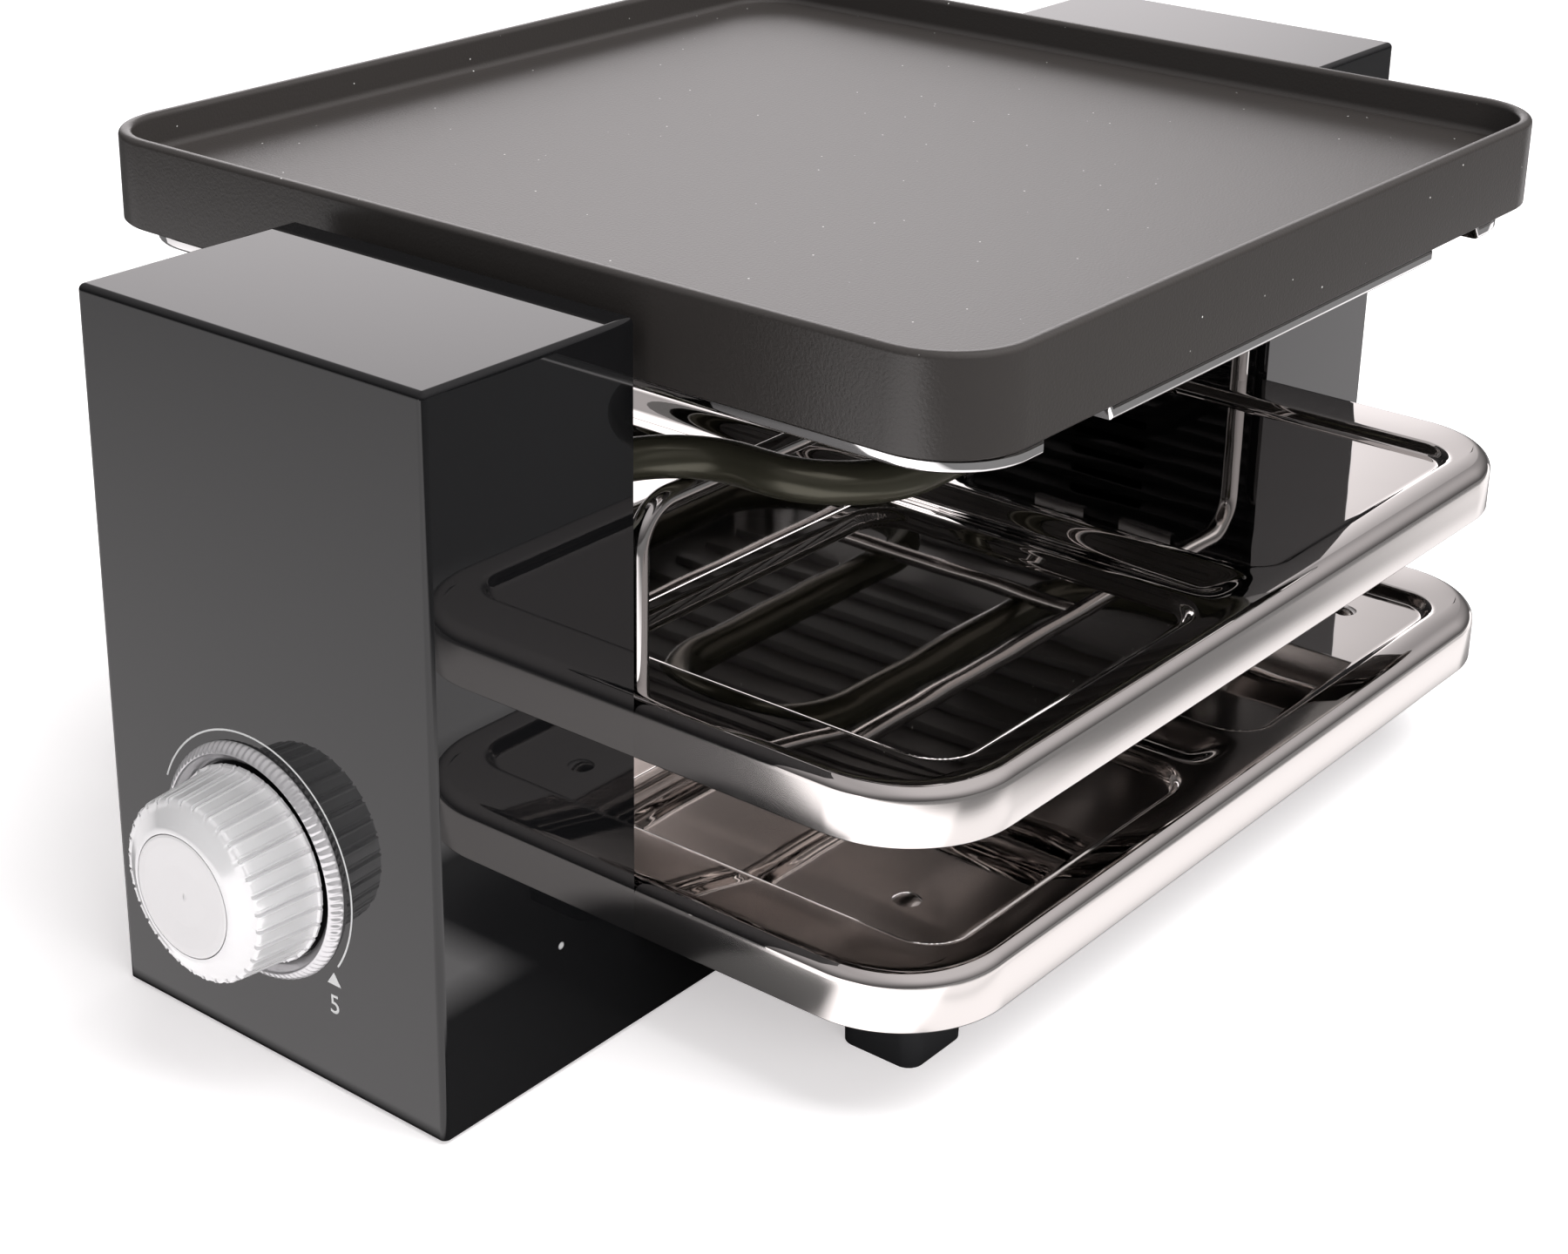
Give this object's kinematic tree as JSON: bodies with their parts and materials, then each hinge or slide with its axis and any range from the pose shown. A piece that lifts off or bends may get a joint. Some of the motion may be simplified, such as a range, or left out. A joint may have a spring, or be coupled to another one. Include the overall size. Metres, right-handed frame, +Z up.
{
  "type": "raclette grill",
  "caption": "Tabletop raclette grill: lift-off square plate over a heating element, pan trays below, slim end housings, thermostat knob.",
  "frame": {"origin": "on the table, under the middle of the overall length and depth", "axes": "+X from the knob housing to the plain housing, +Y to the rear, +Z up"},
  "size_m": [0.324, 0.205, 0.137],
  "materials": {
    "gloss_black": "moulded, high gloss",
    "panel_black": "gloss lacquer",
    "base_black": "moulded, gloss",
    "plate_coat": "non-stick coating with fine bright specks, satin",
    "tray_chrome": "polished pressed sheet",
    "frame_chrome": "polished sheet",
    "rack_chrome": "plated wire",
    "element_sheath": "heat-tinted, dark olive, glossy",
    "knob_silver": "silver lacquer, satin gloss",
    "knob_disc": "fine spun satin",
    "bezel_silver": "fine knurl",
    "foot_black": "moulded",
    "pad_rubber": "matt",
    "cover_black": "fine texture",
    "screw_steel": "zinc plated",
    "rivet_steel": "polished",
    "ceramic": "glazed off-white",
    "contact_brass": "bare",
    "shaft_steel": "turned",
    "inlet_black": "moulded",
    "lead_brown": "silicone sleeve",
    "lead_blue": "silicone sleeve",
    "lead_green": "silicone sleeve",
    "fuse_sleeve": "glass-fibre braid"
  },
  "bodies": {
    "chassis": {"left_housing": "gloss_black", "right_housing": "gloss_black", "left_inner_panel": "panel_black", "right_inner_panel": "panel_black", "left_bottom_cover": "cover_black", "right_bottom_cover": "cover_black", "left_rubber_pads": "pad_rubber", "right_rubber_pads": "pad_rubber", "base": "base_black", "upper_tray": "tray_chrome", "lower_tray": "tray_chrome", "foot_front_left": "foot_black", "foot_front_right": "foot_black", "foot_rear_left": "foot_black", "foot_rear_right": "foot_black", "foot_rivets": "rivet_steel", "reflector_frame": "frame_chrome", "heating_element": "element_sheath", "element_pins": "shaft_steel", "element_sleeves": "ceramic", "element_rack": "rack_chrome", "knob_bezel": "bezel_silver", "thermostat_bush": "contact_brass", "thermostat_nut": "contact_brass", "thermostat_body": "ceramic", "thermostat_blades": "contact_brass", "terminal_block": "ceramic", "terminal_tubes": "contact_brass", "live_lead": "lead_brown", "load_lead": "lead_brown", "front_lead": "lead_brown", "neutral_lead": "lead_blue", "thermal_fuse": "fuse_sleeve", "earth_lead": "lead_green", "earth_tag": "contact_brass", "mains_inlet": "inlet_black", "inlet_pins": "contact_brass", "left_panel_screws": "screw_steel", "right_panel_screws": "screw_steel", "left_cover_screws": "screw_steel", "right_cover_screws": "screw_steel", "left_base_screws": "screw_steel", "right_base_screws": "screw_steel", "upper_tray_bolts": "screw_steel", "lower_tray_bolts": "screw_steel", "tab_bolts": "screw_steel"},
    "heat_knob": {"knob": "knob_silver", "knob_cap": "knob_disc", "thermostat_shaft": "shaft_steel"},
    "lift_plate": {"grill_plate": "plate_coat"}
  },
  "joints": [
    {"name": "knob_turn", "type": "hinge", "parent": "chassis", "child": "heat_knob", "pos_m": [-0.146, 0.0035, 0.0378], "axis": [1, 0, 0], "range_deg": [0, 220]},
    {"name": "plate_lift", "type": "slide", "parent": "chassis", "child": "lift_plate", "axis": [0, 0, 1], "range_m": [0, 0.06]}
  ]
}
